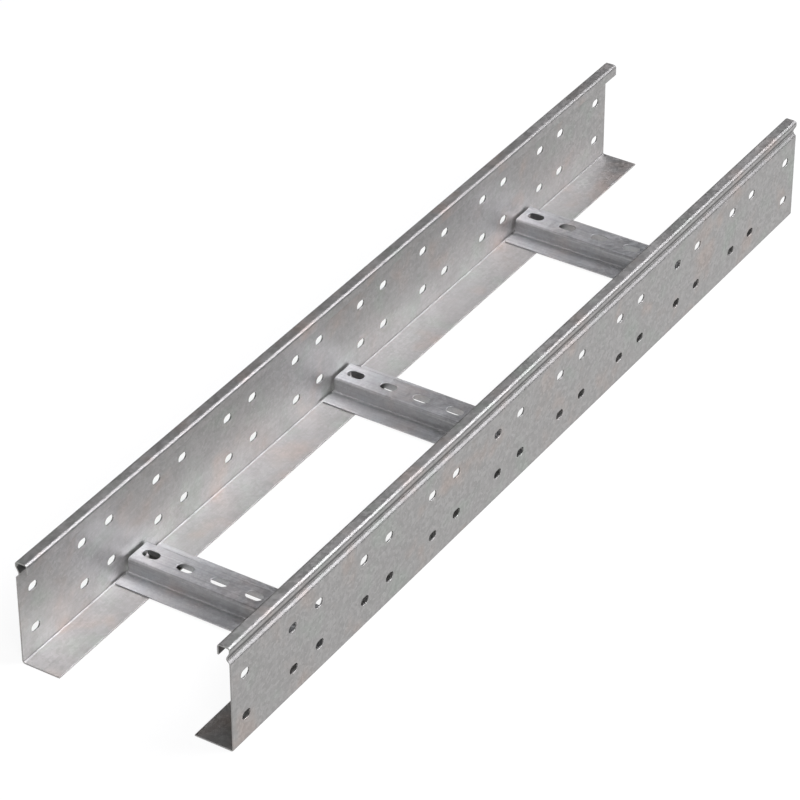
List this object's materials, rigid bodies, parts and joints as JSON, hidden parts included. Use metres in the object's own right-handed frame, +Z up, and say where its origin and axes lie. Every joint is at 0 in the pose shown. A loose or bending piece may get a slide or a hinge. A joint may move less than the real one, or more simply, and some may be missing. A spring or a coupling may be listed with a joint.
{
  "type": "cable ladder section",
  "caption": "Straight steel cable ladder section: slotted channel side rails facing each other, joined by slotted hat-section rungs, for carrying cables.",
  "frame": {"origin": "middle of the ladder's underside, where the bottom flanges rest", "axes": "+X along the side rails from the near end to the far end, +Y across the ladder to the left rail, +Z up"},
  "size_m": [0.9, 0.2, 0.1],
  "materials": {
    "rail_zinc": "zinc-coated sheet, dull, with a faint spangle",
    "rung_zinc": "zinc-coated sheet, dull, drawn along the rung"
  },
  "bodies": {
    "root": {"side_rail_left": "rail_zinc", "side_rail_right": "rail_zinc", "rung_near": "rung_zinc", "rung_middle": "rung_zinc", "rung_far": "rung_zinc"}
  },
  "joints": []
}
